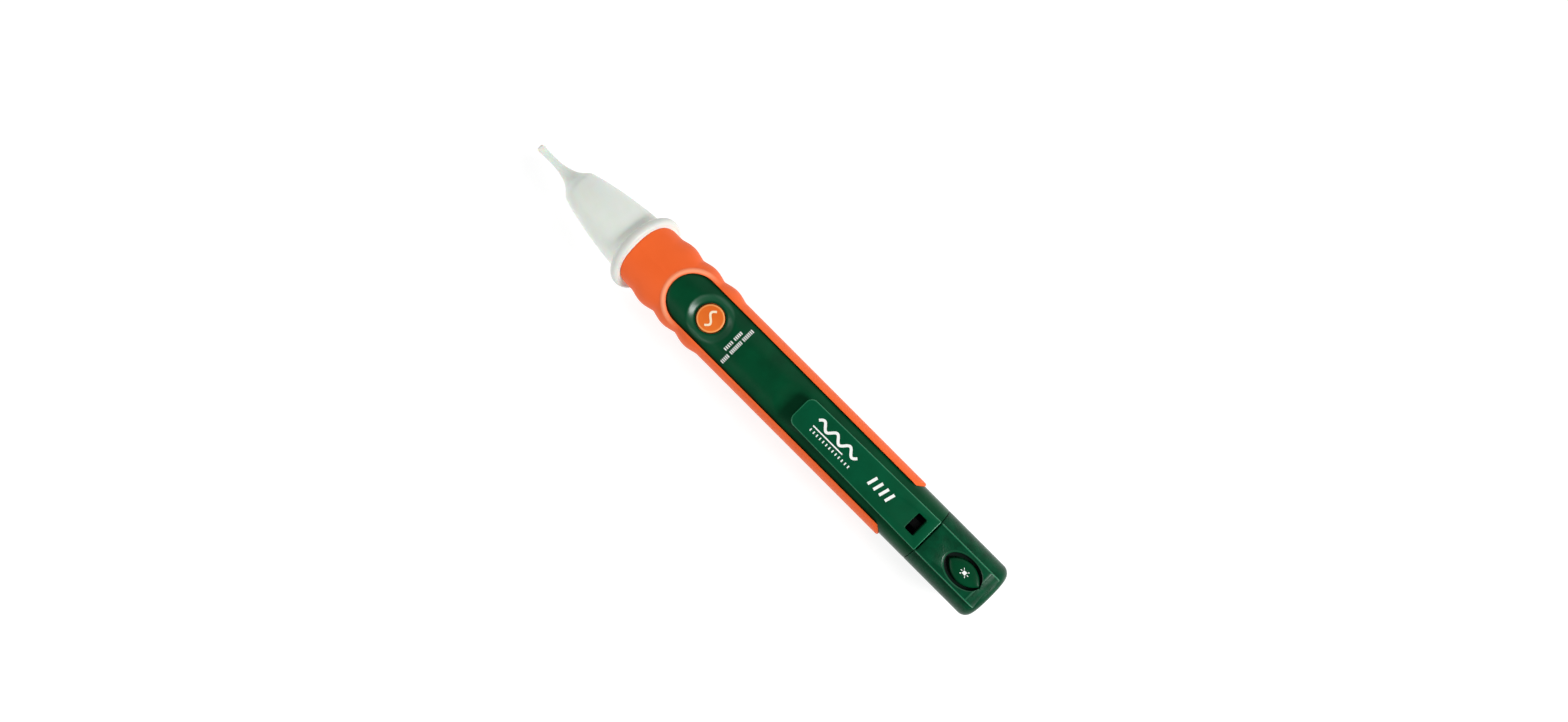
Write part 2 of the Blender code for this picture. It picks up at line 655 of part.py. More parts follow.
def power():
    cell('battery_front', CELL_FRONT)
    cell('battery_rear', CELL_FRONT + CELL_LENGTH + 1.0 + GAP)
    first, last, radius = TRAY
    tray = turned('battery_tray', [(first, 0.0), (first, radius), (last, radius), (last, 0.0)], 32)
    tray.location.z -= CELL_DROP * MM
    bore_front = CONTACT[0] - GAP
    bore = turned('tray_bore', [(bore_front, 0.0), (bore_front, CELL_RADIUS + GAP),
                                (150.0, CELL_RADIUS + GAP), (150.0, 0.0)], 32)
    bore.location.z -= CELL_DROP * MM
    cut(tray, bore)
    cut(tray, box('tray_open', (bore_front, 150), (-10, 10), (-1.6, 10)))
    cut(tray, box('tray_strip_way', (70, 75), (-10, -5.4), (-1.6, 10)))
    cut(tray, box('tray_button_way', (70, 75), (-10, 10), (4.5, 10)))
    publish(tray, 'black')
    publish(box('front_contact', CONTACT, (-2.6, 2.6), (-3.0, 2.2)), 'brass')
    strip = box('conductor_strip', (66.0, NECK_END - 1.5), (-6.05, -5.75), (-1.4, 1.4))
    publish(strip, 'brass')


clear_scene()
PARTS = make_collection('voltage_tester')
GUIDES = make_collection('cutters')
MATERIALS = {name: make_material(name) for name in COLOURS}
probe_tip()
grip_sleeve()
recess_for_grip = grip_bed()
upper_housing(recess_for_grip)
lower_housing(recess_for_grip)
range_button()
pocket_clip()
tail_group()
sensing_antenna()
electronics()
power()
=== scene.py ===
"""The looks of the voltage tester: fine outer shapes and every material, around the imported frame.

Stations run along the pen from its probe tip and heights start at its long axis, in millimetres.
"""
import functools
import json
import math

import bmesh
import bpy
from mathutils import Matrix, Vector

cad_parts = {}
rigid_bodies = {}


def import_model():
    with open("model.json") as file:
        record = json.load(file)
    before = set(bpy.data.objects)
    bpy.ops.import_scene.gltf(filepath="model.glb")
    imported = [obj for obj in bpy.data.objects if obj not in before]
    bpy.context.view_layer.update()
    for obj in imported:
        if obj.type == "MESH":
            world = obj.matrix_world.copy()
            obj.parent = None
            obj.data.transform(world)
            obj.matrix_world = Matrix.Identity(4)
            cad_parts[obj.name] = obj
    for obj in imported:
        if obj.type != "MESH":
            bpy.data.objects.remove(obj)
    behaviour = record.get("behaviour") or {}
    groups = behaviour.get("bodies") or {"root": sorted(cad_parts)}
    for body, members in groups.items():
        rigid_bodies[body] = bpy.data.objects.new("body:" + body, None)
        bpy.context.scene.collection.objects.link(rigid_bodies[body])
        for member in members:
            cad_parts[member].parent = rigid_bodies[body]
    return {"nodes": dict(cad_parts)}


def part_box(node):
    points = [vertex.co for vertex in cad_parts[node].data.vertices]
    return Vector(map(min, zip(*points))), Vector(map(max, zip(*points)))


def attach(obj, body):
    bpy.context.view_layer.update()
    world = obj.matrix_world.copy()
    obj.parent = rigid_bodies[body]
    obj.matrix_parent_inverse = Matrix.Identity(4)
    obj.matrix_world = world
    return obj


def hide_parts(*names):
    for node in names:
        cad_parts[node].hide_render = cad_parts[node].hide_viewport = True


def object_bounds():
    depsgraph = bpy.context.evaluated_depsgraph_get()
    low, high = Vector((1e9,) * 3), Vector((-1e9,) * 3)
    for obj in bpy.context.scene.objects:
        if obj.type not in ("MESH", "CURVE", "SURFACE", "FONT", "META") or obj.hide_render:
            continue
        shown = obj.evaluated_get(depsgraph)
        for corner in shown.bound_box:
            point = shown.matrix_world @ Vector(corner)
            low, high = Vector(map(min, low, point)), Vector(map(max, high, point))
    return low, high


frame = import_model()
cad_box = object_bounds()

MM = 0.001


def frame_box(node):
    """A CAD node's box as (station, y, height) corners in millimetres."""
    low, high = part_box(node)
    return to_pen(low), to_pen(high)


def to_pen(point):
    """A world point as (station, y, height) in millimetres."""
    return Vector((point.x / MM - TIP_X, point.y / MM, point.z / MM - AXIS_Z))


# The pen's own frame
TIP_X = cad_box[0][0] / MM
LENGTH = (cad_box[1][0] - cad_box[0][0]) / MM
LENS_LOW, LENS_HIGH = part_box('torch_lens')
AXIS_Z = (LENS_LOW.z + LENS_HIGH.z) / 2 / MM

# Sizes that the frame settles
BODY_LOW, BODY_HIGH = frame_box('lower_housing')
CLIP_LOW, CLIP_HIGH = frame_box('pocket_clip')
GUARD_RADIUS = frame_box('probe_tip')[1].y
GRIP_END = frame_box('grip_sleeve')[1].x
BODY = (BODY_HIGH.y, -BODY_LOW.z)         # half width and half height, as for every section
INK = 0.03                # thickness of the printed marks
CLIP_FRONT, CLIP_REAR, CLIP_TOP = CLIP_LOW.x, CLIP_HIGH.x, CLIP_HIGH.z - INK
PANEL_TOP = frame_box('tail_cap')[1].z
GRIP = (9.85, frame_box('grip_sleeve')[1].z)

# Fine sizes of the surface
SEAM = 0.06               # half the gap that shows between two pieces
CAP_FRONT = CLIP_REAR + 0.45
BODY_END = CAP_FRONT - 2 * SEAM
SQUIRCLE = 2.5            # exponent of the body's rounded square section
GUARD_THICK, GUARD_CORNER, GUARD_STATION = 3.0, 1.3, 41.7
GUARD_RAKE = math.radians(25)
COLLAR, COLLAR_BORE = (6.9, 6.7), (5.9, 5.7)
WINDOW_HALF, WINDOW_FRONT = 7.6, 53.3     # the green panel between the grip's strips
WINDOW_CENTRE = WINDOW_FRONT + WINDOW_HALF
GRIP_BED = (8.4, 8.2)     # the recess that the grip lies in
STRIP_RADIUS = 8.5
WAVE_START, WAVE_PITCH, WAVE_COUNT, WAVE_HEIGHT = 46.2, 8.4, 3, 0.8
BUTTON_STATION, BUTTON_RADIUS, BUTTON_HOLE = 67.6, 3.95, 4.25
BUTTON_POCKET, BUTTON_RIM = (5.3, 3, 7.15), (4.9, 5.9, 6.5)     # radius, bottom and top
BUTTON_FOOT, BUTTON_EDGE = 6.2, 0.3
DISH_RADIUS, DISH_FLOOR, DISH_DEPTH = 6.95, 4.7, 1.25
SCOOP_STATION, SCOOP_HALF_LENGTH, SCOOP_HALF_WIDTH, SCOOP_DEPTH = 102.0, 7.5, 6.5, 0.8
CAVITY = (7.2, 7.0)
NECK, NECK_BORE, NECK_END = (7.4, 7.2), (6.3, 6.1), BODY_HIGH.x
LABEL_FLAT = (84, 134, 4.5, 8.2)          # stations, half width and depth below the axis
CLIP_FRONT_HALF, CLIP_REAR_HALF, CLIP_THICK = 4.65, CLIP_HIGH.y, 1.6
CLIP_ROOT = 142.7         # where the solid root behind the springy arm begins
CLIP_WINDOW = (145.3, 148.5, 2.85)        # stations and half width
CLIP_RIM = 0.27           # rounding of the clip's edges
CLIP_FEET = (148.4, 150.2, 3.7, 4.7)      # stations, then the inner and outer side of each foot
FOOT_LEVELS, SLOT_FLOOR, SLOT_PLAY = (7.7, 10.4), 7.4, 0.1
FOOT_SWING = 0.28         # room fore and aft for the clip's feet as it flexes
PANEL_HALF, PANEL_BEVEL, PANEL_ROLL, PANEL_FOOT = 5.4, 0.35, 4.6, 8.0
LATCH_HALF, LATCH_LEVELS, LATCH_FLOOR = 2.2, (8.3, 9.5), 8.0
CAP_HOLLOW, CAP_HOLLOW_END = (7.7, 7.5), 173.6
TORCH_STATION, RECESS_STATION = 165.7, 165.2
TORCH_BUTTON = (5.7, 3.05)
TORCH_FOOT, TORCH_RIM_LEVELS = 7.9, (7.8, 8.3)
TORCH_RECESS = (6.8, 4.6)
RECESS_FLOOR, RECESS_WALL_TOP, RECESS_RIM_TOP = 9.4, 10.65, 11.1
SWITCH_BAY, BAY_CEILING = ((157.8, 173.0), (-4.5, 4.5)), 8.6
RING_POINTS = 200
WELD = 0.0000005          # metres

# How far cutting shapes run past the pen
ABOVE, ASIDE = 14, 20
BEFORE, BEHIND = 20, 170

GUIDES = bpy.data.collections.new('guides')
bpy.context.scene.collection.children.link(GUIDES)


def at(station, y, height):
    """World point of a (station, y, height) in millimetres."""
    return Vector(((station + TIP_X) * MM, y * MM, (height + AXIS_Z) * MM))


# Meshes

def mesh_object(name, mesh):
    item = bpy.data.objects.new(name, mesh)
    GUIDES.objects.link(item)
    return item


def finish_mesh(name, mesh):
    bmesh.ops.recalc_face_normals(mesh, faces=mesh.faces)
    data = bpy.data.meshes.new(name)
    mesh.to_mesh(data)
    mesh.free()
    return mesh_object(name, data)


def stacked(name, rings):
    """Closed solid through rings of points given as (station, y, height)."""
    mesh = bmesh.new()
    loops = [[mesh.verts.new(at(*point)) for point in ring] for ring in rings]
    count = len(loops[0])
    for first, second in zip(loops, loops[1:]):
        for i in range(count):
            j = (i + 1) % count
            mesh.faces.new((first[i], first[j], second[j], second[i]))
    mesh.faces.new(loops[0])
    mesh.faces.new(loops[-1])
    return finish_mesh(name, mesh)


def squircle_point(half_width, half_height, turn):
    c, s = math.cos(turn), math.sin(turn)
    return (math.copysign(abs(c) ** (2 / SQUIRCLE), c) * half_width,
            math.copysign(abs(s) ** (2 / SQUIRCLE), s) * half_height)


def squircle_normal(half_width, half_height, y, z):
    ny = math.copysign((abs(y) / half_width) ** (SQUIRCLE - 1) / half_width, y)
    nz = math.copysign((abs(z) / half_height) ** (SQUIRCLE - 1) / half_height, z)
    size = math.hypot(ny, nz) or 1.0
    return ny / size, nz / size


@functools.cache
def even_turns(section, points):
    """Turns that split a squircle into steps of one length, starting on the +Y side."""
    fine = 4000
    line = [squircle_point(*section, 2 * math.pi * i / fine) for i in range(fine + 1)]
    runs = [0.0]
    for first, second in zip(line, line[1:]):
        runs.append(runs[-1] + math.dist(first, second))
    turns, k = [], 0
    for i in range(points):
        target = runs[-1] * i / points
        while runs[k + 1] < target:
            k += 1
        share = (target - runs[k]) / (runs[k + 1] - runs[k])
        turns.append(2 * math.pi * (k + share) / fine)
    return turns


def skin_ring(station, section, push, points=RING_POINTS, lean=0.0):
    """Ring of a squircle section, leaned and then moved along its normal by push(station, y, z)."""
    ring = []
    for turn in even_turns(section, points):
        y, z = squircle_point(*section, turn)
        ny, nz = squircle_normal(*section, y, z)
        along = station - z * lean
        out = push(along, y, z)
        ring.append((along, y + ny * out, z + nz * out))
    return ring


def plain(station, y, z):
    """Leaves a ring where it is."""
    return 0.0


def body_loft(name, stations, points=RING_POINTS):
    """Solid through squircle sections given as (station, half width, half height)."""
    return stacked(name, [skin_ring(s, (a, b), plain, points) for s, a, b in stations])


def turned(name, profile, points=96, lean=0.0, station=0.0):
    """Solid of revolution about the pen's axis, or an axis that leans, from (along, radius) pairs."""
    mesh = bpy.data.meshes.new(name)
    verts = [(radius * MM, 0.0, along * MM) for along, radius in reversed(profile)]
    mesh.from_pydata(verts, [(i, i + 1) for i in range(len(profile) - 1)], [])
    item = mesh_object(name, mesh)
    screw = item.modifiers.new('Turn', 'SCREW')
    screw.steps = points
    screw.render_steps = points
    screw.use_merge_vertices = True
    screw.merge_threshold = 0.000001
    item.matrix_world = (Matrix.Translation(at(station, 0, 0))
                         @ Matrix.Rotation(math.pi / 2 - lean, 4, 'Y'))
    return item


def prism(name, outline, low, high, side_view=False):
    """Outline of (station, offset) points made thick, in plan or in side view."""
    def place(point, level):
        return (point[0], level, point[1]) if side_view else (point[0], point[1], level)
    return stacked(name, [[place(p, low) for p in outline], [place(p, high) for p in outline]])


def box(name, stations, widths, heights):
    outline = [(stations[0], widths[0]), (stations[1], widths[0]), (stations[1], widths[1]),
               (stations[0], widths[1])]
    return prism(name, outline, *heights)


def upright(name, station, radius, low, high, points=96):
    """Round post standing along Z."""
    return prism(name, ellipse(station, (radius, radius), points), low, high)


def boolean(part, other, operation):
    step = part.modifiers.new(other.name, 'BOOLEAN')
    step.operation = operation
    step.object = other
    return part


def cut(part, *others):
    for other in others:
        boolean(part, other, 'DIFFERENCE')
    return part


def join(part, *others):
    for other in others:
        boolean(part, other, 'UNION')
    return part


def bevel(part, width, segments=3, angle=35):
    step = part.modifiers.new('Bevel', 'BEVEL')
    step.width = width * MM
    step.segments = segments
    step.limit_method = 'ANGLE'
    step.angle_limit = math.radians(angle)
    return part


def arc(centre, radius, start, end, steps):
    """Points on an arc from start to end, in degrees."""
    turns = [math.radians(start + (end - start) * i / steps) for i in range(steps + 1)]
    return [(centre[0] + radius * math.cos(t), centre[1] + radius * math.sin(t)) for t in turns]


def ellipse(centre, radii, steps=96):
    turns = [2 * math.pi * i / steps for i in range(steps)]
    return [(centre + radii[0] * math.cos(t), radii[1] * math.sin(t)) for t in turns]


def pointed_oval(centre, half_length, half_width, steps=24):
    """Outline of two equal arcs that meet in a point at each end."""
    radius = (half_length ** 2 + half_width ** 2) / (2 * half_width)
    reach = math.degrees(math.asin(half_length / radius))
    upper = arc((centre, half_width - radius), radius, 90 + reach, 90 - reach, steps)
    lower = arc((centre, radius - half_width), radius, 270 + reach, 270 - reach, steps)
    return upper[:-1] + lower[:-1]


def smooth_line(points, steps=6):
    """Catmull-Rom curve through the points."""
    line = []
    for i in range(len(points) - 1):
        p0, p1 = points[max(i - 1, 0)], points[i]
        p2, p3 = points[i + 1], points[min(i + 2, len(points) - 1)]
        for k in range(steps):
            t = k / steps
            line.append(tuple(
                0.5 * (2 * b + (c - a) * t + (2 * a - 5 * b + 4 * c - d) * t * t
                       + (3 * b - a - 3 * c + d) * t ** 3)
                for a, b, c, d in zip(p0, p1, p2, p3)))
    return line + [points[-1]]


def raked_block(name, offset, towards_tail):
    """Large block with one face parallel to the guard, at a distance behind its middle plane."""
    size = 60.0
    mesh = bmesh.new()
    bmesh.ops.create_cube(mesh, size=size * MM)
    side = 1 if towards_tail else -1
    shift = Matrix.Translation(((offset + side * size / 2) * MM, 0, 0))
    lean = Matrix.Rotation(-GUARD_RAKE, 4, 'Y')
    bmesh.ops.transform(mesh, matrix=Matrix.Translation(at(GUARD_STATION, 0, 0)) @ lean @ shift,
                        verts=mesh.verts)
    return finish_mesh(name, mesh)


def settle(item, node, body, material, smooth_angle=30):
    """Turn a shape with its modifiers into the piece that stands for a CAD node."""
    bpy.context.view_layer.update()
    graph = bpy.context.evaluated_depsgraph_get()
    mesh = bpy.data.meshes.new_from_object(item.evaluated_get(graph))
    mesh.transform(item.matrix_world)
    clean = bmesh.new()
    clean.from_mesh(mesh)
    bmesh.ops.remove_doubles(clean, verts=clean.verts, dist=WELD)
    bmesh.ops.dissolve_degenerate(clean, edges=clean.edges, dist=WELD)
    clean.to_mesh(mesh)
    clean.free()
    piece = bpy.data.objects.new(f'{node}_fine', mesh)
    bpy.context.scene.collection.objects.link(piece)
    mesh.materials.clear()
    mesh.materials.append(material)
    mesh.shade_smooth()
    mesh.set_sharp_from_angle(angle=math.radians(smooth_angle))
    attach(piece, body)
    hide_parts(node)
    return piece


def second_material(piece, material, test):
    """Give another material to the faces whose centre and normal pass a test."""
    mesh = piece.data
    mesh.materials.append(material)
    for face in mesh.polygons:
        if test(to_pen(face.center), face.normal):
            face.material_index = len(mesh.materials) - 1


def mark_points(piece, mark, share):
    """Store a share of 0 to 1 at each point of a piece's upper side, for its material to read."""
    values = piece.data.attributes.new(mark, 'FLOAT', 'POINT').data
    for vertex, value in zip(piece.data.vertices, values):
        spot = to_pen(vertex.co)
        value.value = share(spot.x, spot.y) if spot.z > 0 else 0.0


def clear_guides():
    """Remove the shapes that only served to build others."""
    for item in list(GUIDES.objects):
        bpy.data.objects.remove(item, do_unlink=True)


# Materials

def srgb(red, green, blue):
    """Shader colour from red, green and blue out of 255."""
    def linear(value):
        value /= 255
        return value / 12.92 if value <= 0.04045 else ((value + 0.055) / 1.055) ** 2.4
    return (linear(red), linear(green), linear(blue), 1.0)


def node(tree, kind, **values):
    """Shader node with its properties set, and its inputs where a name starts with in_."""
    item = tree.nodes.new(kind)
    for name, value in values.items():
        if name.startswith('in_'):
            item.inputs[name[3:].replace('_', ' ')].default_value = value
        else:
            setattr(item, name, value)
    return item


def moulded(name, dark, light, roughness, grain_size, grain_depth, mottle_size=9.0, rough_swing=0.06,
            **shader_values):
    """Moulded plastic: two close tones mottled together, fine grain and uneven gloss."""
    material = bpy.data.materials.new(name)
    material.use_nodes = True
    tree = material.node_tree
    shader = tree.nodes['Principled BSDF']
    shader.inputs['Specular IOR Level'].default_value = 0.35
    for key, value in shader_values.items():
        shader.inputs[key.replace('_', ' ')].default_value = value
    place = node(tree, 'ShaderNodeTexCoord')
    mottle = node(tree, 'ShaderNodeTexNoise', in_Scale=1000 / mottle_size, in_Detail=4.0)
    tones = node(tree, 'ShaderNodeValToRGB')
    tones.color_ramp.elements[0].position = 0.35
    tones.color_ramp.elements[0].color = dark
    tones.color_ramp.elements[1].position = 0.65
    tones.color_ramp.elements[1].color = light
    gloss = node(tree, 'ShaderNodeMapRange', in_To_Min=roughness - rough_swing,
                 in_To_Max=roughness + rough_swing)
    grain = node(tree, 'ShaderNodeTexNoise', in_Scale=1000 / grain_size, in_Detail=3.0)
    bump = node(tree, 'ShaderNodeBump', in_Strength=0.6, in_Distance=grain_depth * MM)
    links = tree.links
    links.new(place.outputs['Object'], mottle.inputs['Vector'])
    links.new(place.outputs['Object'], grain.inputs['Vector'])
    links.new(mottle.outputs['Fac'], tones.inputs['Fac'])
    links.new(tones.outputs['Color'], shader.inputs['Base Color'])
    links.new(grain.outputs['Fac'], gloss.inputs['Value'])
    links.new(gloss.outputs['Result'], shader.inputs['Roughness'])
    links.new(grain.outputs['Fac'], bump.inputs['Height'])
    links.new(bump.outputs['Normal'], shader.inputs['Normal'])
    return material


def metal(name, colour, roughness):
    """Metal with faint mottling and fine grain."""
    darker = tuple(c * 0.92 for c in colour[:3]) + (1.0,)
    return moulded(name, darker, colour, roughness, 0.5, 0.004, Metallic=1.0)


def mix_painted_highlight(material, mark, tone, coated=False):
    """Mix a lighter tone as a painted highlight, and a clear coat if asked, into a material where the mesh
    carries a mark.
    """
    tree = material.node_tree
    shader = tree.nodes['Principled BSDF']
    plain_tone = shader.inputs['Base Color'].links[0].from_socket
    share = node(tree, 'ShaderNodeAttribute', attribute_name=mark)
    mix = node(tree, 'ShaderNodeMix', data_type='RGBA')
    mix.inputs['B'].default_value = tone
    tree.links.new(share.outputs['Fac'], mix.inputs['Factor'])
    tree.links.new(plain_tone, mix.inputs['A'])
    tree.links.new(mix.outputs['Result'], shader.inputs['Base Color'])
    if coated:
        tree.links.new(share.outputs['Fac'], shader.inputs['Coat Weight'])


def make_materials():
    """Every material by its short name, with the marks that some of them read from the mesh."""
    satin = {'Specular_IOR_Level': 0.11}
    shell = (srgb(0, 58, 32), srgb(0, 70, 40), 0.33, 0.35, 0.02)
    made = {
        'green': moulded('green_shell', *shell, **satin),
        'green_dished': moulded('green_dished_shell', *shell, Coat_Roughness=0.33, Coat_IOR=1.43, **satin),
        'green_clip': moulded('green_clip', srgb(0, 70, 42), srgb(0, 80, 50), 0.36, 0.35, 0.02, **satin),
        'green_grain': moulded('green_grained', srgb(0, 56, 33), srgb(0, 70, 43), 0.36, 0.4, 0.12, 2.5,
                               **satin),
        # Painted highlight: a lighter, glossier green for rounded edges.
        'green_edge_highlight': moulded('green_glossy_edge_painted_highlight', srgb(22, 104, 70), srgb(34, 118, 82), 0.3, 0.35, 0.02,
                              Specular_IOR_Level=0.3),
        # Painted highlight together with real gloss: a lighter, glossier green for the torch recess's rim
        # cone.
        'green_gloss_painted_highlight': moulded('green_gloss_painted_highlight', srgb(4, 72, 44), srgb(8, 84, 54), 0.3, 0.35, 0.01,
                               Specular_IOR_Level=0.5),
        # Painted shade: near black green for the torch recess's wall and floor.
        'green_painted_shade': moulded('green_recess_painted_shade', srgb(0, 14, 8), srgb(0, 22, 13), 0.5, 0.35, 0.02, **satin),
        'grip': moulded('orange_overmould', srgb(240, 98, 37), srgb(244, 102, 41), 0.55, 0.25, 0.03,
                        Specular_IOR_Level=0.2),
        'button': moulded('orange_button', srgb(226, 104, 28), srgb(236, 116, 38), 0.38, 0.4, 0.015),
        'tip': moulded('milky_white', srgb(234, 237, 228), srgb(240, 242, 235), 0.38, 0.5, 0.012,
                       Subsurface_Weight=0.35, Subsurface_Scale=0.003),
        # Painted shade: a darker copy of the tip's white for the guard's faces, which are lit more
        # brightly.
        'guard': moulded('guard_white_painted_shade', srgb(216, 219, 213), srgb(222, 225, 219), 0.42, 0.5, 0.012,
                         Subsurface_Weight=0.2, Subsurface_Scale=0.002),
        'black': moulded('black_plastic', srgb(14, 14, 15), srgb(24, 24, 26), 0.5, 0.3, 0.03),
        'board': moulded('solder_mask', srgb(10, 84, 46), srgb(14, 98, 56), 0.3, 0.6, 0.01),
        'cell': moulded('cell_sleeve', srgb(16, 16, 18), srgb(26, 26, 29), 0.28, 0.8, 0.01),
        'steel': metal('spring_steel', srgb(200, 200, 198), 0.28),
        'brass': metal('contact_brass', srgb(212, 176, 96), 0.3),
        'chrome': metal('mirror_cup', srgb(232, 232, 234), 0.1),
        'red': moulded('red_resin', srgb(150, 8, 8), srgb(176, 14, 12), 0.15, 1.0, 0.005,
                       Transmission_Weight=0.4),
        'clear': moulded('clear_lens', srgb(236, 240, 244), srgb(244, 248, 250), 0.06, 2.0, 0.002,
                         rough_swing=0.02, Transmission_Weight=0.95, IOR=1.49),
        'ink': moulded('white_ink', srgb(236, 238, 234), srgb(248, 249, 246), 0.55, 0.2, 0.01, 3.0),
        'cream_ink': moulded('cream_ink', srgb(246, 226, 190), srgb(252, 236, 206), 0.55, 0.2, 0.01, 3.0),
    }
    # Painted highlight: a lighter tone on the crest of the grip's lip.
    mix_painted_highlight(made['grip'], 'lip', srgb(255, 160, 118))
    # Painted highlight: a lighter tone on the dish's wall; the clear coat there is real gloss.
    mix_painted_highlight(made['green_dished'], 'dish_wall', srgb(4, 76, 46), coated=True)
    # Painted highlight: a lighter tone on the range button's rounded edge.
    mix_painted_highlight(made['button'], 'edge', srgb(248, 158, 88))
    return made


# Probe tip and guard: (station, radius) pairs

NIB = [(0.4, 1.12), (1.2, 1.16), (3.0, 1.02), (5.5, 1.02), (8.0, 1.15), (9.6, 1.5), (11.7, 2.15),
       (13.3, 3.1), (14.5, 4.25), (15.2, 4.85)]
SHOULDER = [(15.55, 5.08), (17.2, 5.6), (20.3, 6.4), (25.6, 7.5), (30.8, 8.32), (36.0, 8.95), (41.0, 9.3),
            (50.0, 9.5)]
CONE_INSIDE = [(2.0, 0.0), (2.0, 0.5), (9.0, 0.55), (12.0, 1.0), (14.2, 2.4), (15.8, 3.9),
               (20.3, 5.1), (25.6, 6.3), (30.8, 7.1), (35.6, 7.6), (35.6, 0.0)]


def guard_profile():
    """Half section of the guard as (distance behind its middle, radius), rim rounded."""
    half, corner = GUARD_THICK / 2, GUARD_CORNER
    front = arc((-half + corner, GUARD_RADIUS - corner), corner, 180, 90, 10)
    rear = arc((half - corner, GUARD_RADIUS - corner), corner, 90, 0, 10)
    return [(-half, 0.0)] + front + rear + [(half, 0.0)]


def probe_tip():
    outside = [(0.0, 0.0), (0.0, 0.8)] + smooth_line(NIB) + smooth_line(SHOULDER) + [(50.0, 0.0)]
    cone = cut(turned('cone', outside), raked_block('cone_trim', 0.5, True))
    guard = turned('guard', guard_profile(), 128, GUARD_RAKE, GUARD_STATION)
    collar = cut(body_loft('collar', [(42.0, *COLLAR), (52.0, *COLLAR)], 64),
                 raked_block('collar_trim', 0.6, False))
    tip = join(cone, guard, collar)
    cut(tip, turned('cone_hollow', CONE_INSIDE, 48),
        body_loft('collar_bore', [(34, *COLLAR_BORE), (56, *COLLAR_BORE)], 64))
    piece = settle(tip, 'probe_tip', 'housing', MATERIALS['tip'])

    def on_guard(centre, normal):
        along, across = centre.x - GUARD_STATION, centre.z
        offset = along * math.cos(GUARD_RAKE) + across * math.sin(GUARD_RAKE)
        radius = math.hypot(across * math.cos(GUARD_RAKE) - along * math.sin(GUARD_RAKE), centre.y)
        cone_radius = 9.4
        return abs(offset) < GUARD_THICK / 2 + 0.01 and radius > cone_radius
    # The guard's faces get the darker copy of the white as painted shade.
    second_material(piece, MATERIALS['guard'], on_guard)


# Grip

def ease(value):
    """Smooth step from 0 to 1."""
    value = min(max(value, 0.0), 1.0)
    return value * value * (3 - 2 * value)


def window_distance(station, y):
    """How far a point lies outside the green panel's outline, seen from above."""
    if station < WINDOW_CENTRE:
        return math.hypot(station - WINDOW_CENTRE, y) - WINDOW_HALF
    return abs(y) - WINDOW_HALF


def guard_distance(station, z):
    """How far a point lies behind the guard's rear face."""
    middle = (station - GUARD_STATION) * math.cos(GUARD_RAKE) + z * math.sin(GUARD_RAKE)
    return middle - GUARD_THICK / 2


def rolled(distance, reach, drop):
    """Fall of a surface that rounds over at an edge."""
    share = min(max(1 - distance / reach, 0.0), 1.0)
    return -drop * (1 - math.sqrt(max(1 - share * share, 0.0)))


def wave(station):
    """Height of the finger waves on the grip's sides."""
    along = (station - WAVE_START) / WAVE_PITCH
    if along < 0 or along > WAVE_COUNT:
        return 0.0
    return WAVE_HEIGHT * abs(math.sin(math.pi * along)) ** 1.2


def lip_share(station, y):
    """One on the crest of the raised lip around the window's front, none away from it; the crest also gets
    a painted highlight.
    """
    away = (window_distance(station, y) - 0.8) / 0.8
    return max(1 - away * away, 0.0) * ease((WINDOW_CENTRE + 3 - station) / 7)


def grip_push(station, y, z):
    """Fine shape of the grip: waves, rounded edges, the lip and the moulding line in front."""
    out = wave(station) * (abs(y) / GRIP[0]) ** 5
    in_front = ease((WINDOW_CENTRE - station) / WINDOW_HALF)
    edge = window_distance(station, y)
    out += rolled(edge, 0.4 + 0.8 * in_front, 0.3 + 0.35 * in_front)
    out += 0.25 * lip_share(station, y)
    out += rolled(guard_distance(station, z) - SEAM, 0.5, 0.35)
    start = GRIP_END - STRIP_RADIUS
    end = STRIP_RADIUS - math.hypot(max(station - start, 0), z)
    out += rolled(end, 0.7, 0.45) * ease((station - start) / 2)
    if station < WINDOW_FRONT:
        out += 0.05 * math.exp(-(y / 0.2) ** 2)
    return out


def spread(start, end, step):
    """Stations from start up to end, a step apart."""
    return [start + step * i for i in range(int((end - start) / step))]


def grip_rings():
    """Rings that lie along the guard in front and stand upright from the window on."""
    first = GUARD_STATION + (GUARD_THICK / 2 + SEAM) / math.cos(GUARD_RAKE)
    close = [first + step for step in (0.0, 0.02, 0.05, 0.1, 0.17, 0.26, 0.38, 0.52)]
    stations = close + spread(first + 0.8, 50, 0.4) + spread(50, 64, 0.25) + spread(64, 73, 0.5)
    stations += spread(73, 131, 2.0) + spread(131, 143, 0.3)
    leaning = 13.0
    rings = []
    for station in stations:
        lean = math.tan(GUARD_RAKE) * (1 - ease((station - first) / leaning))
        rings.append(skin_ring(station, GRIP, grip_push, lean=lean))
    return rings


def window_outline(inset):
    """Panel between the grip's strips: round in front, open towards the tail."""
    half = WINDOW_HALF - inset
    return arc((WINDOW_CENTRE, 0), half, 90, 270, 64) + [(165.0, -half), (165.0, half)]


def strip_outline(extra):
    """Side view of the grip: deep at the front, with a round end at the tail."""
    radius = STRIP_RADIUS + extra
    start = GRIP_END - STRIP_RADIUS
    rounded = arc((start, 0), radius, 90, -90, 48)
    first, step = 28.0, start - 6
    return ([(first, ABOVE), (step, ABOVE), (step, radius)] + rounded
            + [(step, -radius), (step, -ABOVE), (first, -ABOVE)])


def grip_sleeve():
    sleeve = stacked('grip', grip_rings())
    boolean(sleeve, prism('grip_side', strip_outline(0), -15, 15, True), 'INTERSECT')
    cut(sleeve, body_loft('grip_inside', [(25.0, *GRIP_BED), (160.0, *GRIP_BED)], 96),
        prism('grip_window', window_outline(0), -15, 15))
    piece = settle(sleeve, 'grip_sleeve', 'housing', MATERIALS['grip'])
    # The lip's share also places the painted highlight in the orange material.
    mark_points(piece, 'lip', lip_share)


# Body shells

